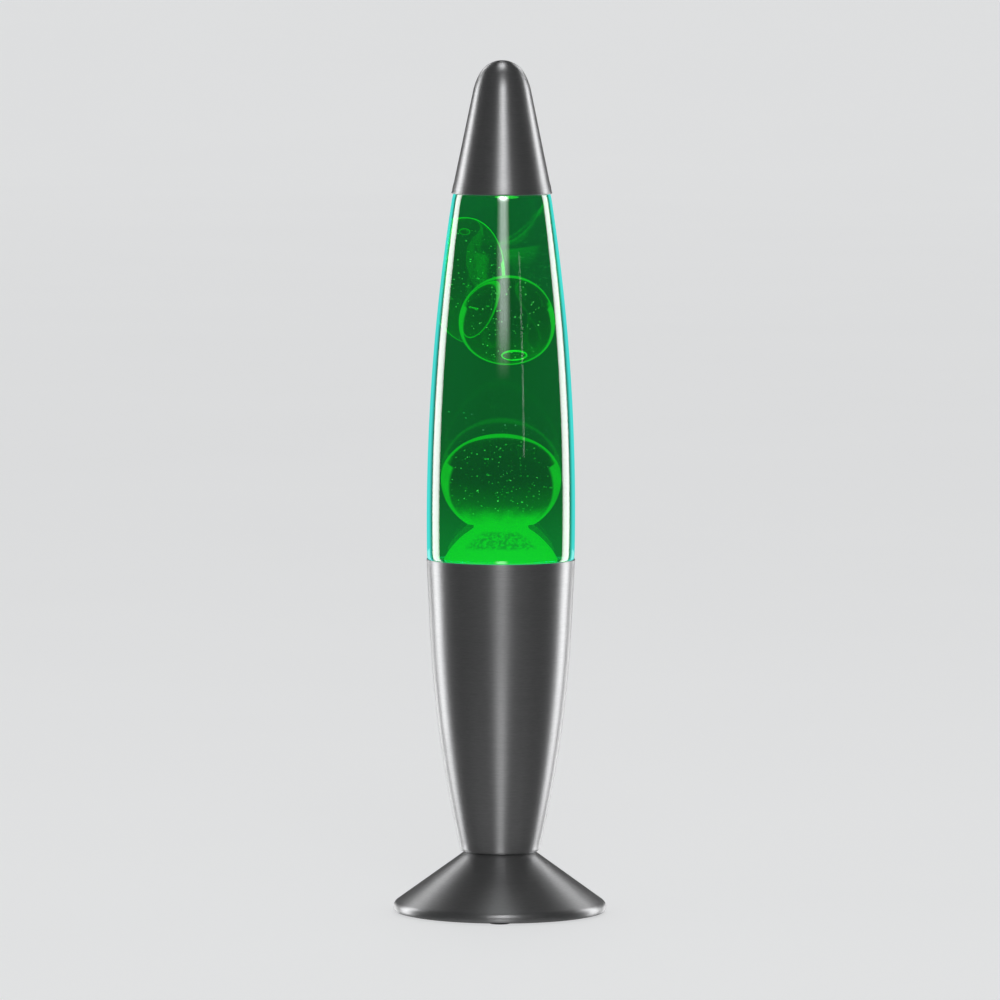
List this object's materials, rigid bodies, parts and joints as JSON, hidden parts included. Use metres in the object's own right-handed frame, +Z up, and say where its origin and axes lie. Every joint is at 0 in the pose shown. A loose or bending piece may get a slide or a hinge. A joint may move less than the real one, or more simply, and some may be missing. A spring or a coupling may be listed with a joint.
{
  "type": "lava lamp",
  "caption": "Free-standing wax motion lamp: a tapering glass bottle of green liquid and wax between a pointed metal cap and a waisted hourglass base.",
  "frame": {"origin": "centre of the lamp's underside, on its axis, in the plane of the four rubber pads' lowest faces", "axes": "+Z up along the lamp's axis, +Y to the rear, where the cord bush is, +X to the right seen from the front"},
  "size_m": [0.0873, 0.0874, 0.35],
  "materials": {
    "satin_aluminium": "spun sheet, fine circumferential grain, satin lacquer",
    "black_moulding": "fine-textured moulding",
    "black_rubber": "matte",
    "yellow_brass": "turned and pressed brass",
    "zinc_steel": "zinc-plated and bright wire",
    "white_holder": "heat-resisting moulding",
    "brown_sleeve": "insulated lead",
    "blue_sleeve": "insulated lead",
    "earth_sleeve": "insulated lead, green with yellow stripe",
    "bulb_cap": "rolled thread",
    "bulb_black_glass": "fused black glass",
    "bulb_envelope": "mirrored reflector with frosted front",
    "bulb_clear_glass": "clear pressed glass",
    "tungsten": "drawn wire",
    "bottle_glass": "clear blown glass",
    "green_liquid": "clear green liquid",
    "green_wax": "warm translucent wax, lit from below",
    "seal_liner": "soft liner",
    "crown_metal": "lacquered tinplate"
  },
  "bodies": {
    "base": {"rubber_pads": "black_rubber", "bottom_cover": "black_moulding", "foot_shell": "satin_aluminium", "cord_bush": "black_rubber", "lower_nut": "yellow_brass", "lock_washer": "zinc_steel", "earth_tag": "zinc_steel", "nipple_tube": "zinc_steel", "upper_nut": "yellow_brass", "barrel_shell": "satin_aluminium", "holder_dome": "white_holder", "holder_body": "white_holder", "holder_screw_shell": "yellow_brass", "holder_contact": "yellow_brass", "holder_terminals": "zinc_steel", "terminal_block": "white_holder", "terminal_screws": "yellow_brass", "lead_live": "brown_sleeve", "lead_neutral": "blue_sleeve", "lead_earth": "earth_sleeve"},
    "bulb_carrier": {"bulb_tip_contact": "bulb_cap"},
    "bulb": {"bulb_insulator": "bulb_black_glass", "bulb_screw_shell": "bulb_cap", "bulb_glass": "bulb_envelope", "bulb_stem": "bulb_clear_glass", "bulb_filament": "tungsten"},
    "bottle": {"bottle_glass": "bottle_glass", "heat_coil": "zinc_steel", "wax_pool": "green_wax", "liquid": "green_liquid", "closure_seal": "seal_liner", "crown_closure": "crown_metal"},
    "low_wax": {"wax_low": "green_wax"},
    "round_wax": {"wax_round": "green_wax"},
    "long_wax": {"wax_long": "green_wax"},
    "cap": {"cap_shell": "satin_aluminium"}
  },
  "joints": [
    {"name": "bottle_lift", "type": "slide", "parent": "base", "child": "bottle", "axis": [0, 0, 1], "range_m": [0, 0.04]},
    {"name": "cap_lift", "type": "slide", "parent": "bottle", "child": "cap", "axis": [0, 0, 1], "range_m": [0, 0.035]},
    {"name": "bulb_rise", "type": "slide", "parent": "base", "child": "bulb_carrier", "axis": [0, 0, 1], "range_m": [0, 0.01157]},
    {"name": "bulb_turn", "type": "hinge", "parent": "bulb_carrier", "child": "bulb", "pos_m": [0, 0, 0.04], "axis": [0, 0, 1], "range_deg": [0, 1476]},
    {"name": "low_wax_rise", "type": "slide", "parent": "bottle", "child": "low_wax", "axis": [0, 0, 1], "range_m": [0, 0.012], "deforming": ["liquid"]},
    {"name": "round_wax_drift", "type": "slide", "parent": "bottle", "child": "round_wax", "axis": [0, 0, 1], "range_m": [-0.012, 0], "deforming": ["liquid"]},
    {"name": "long_wax_drift", "type": "slide", "parent": "bottle", "child": "long_wax", "axis": [0, 0, 1], "range_m": [-0.012, 0], "deforming": ["liquid"]}
  ],
  "couplings": [
    {"joint": "bulb_turn", "follows": "bulb_rise", "rad_per_m": 2226.5},
    {"joint": "long_wax_drift", "follows": "round_wax_drift", "ratio": 1}
  ]
}
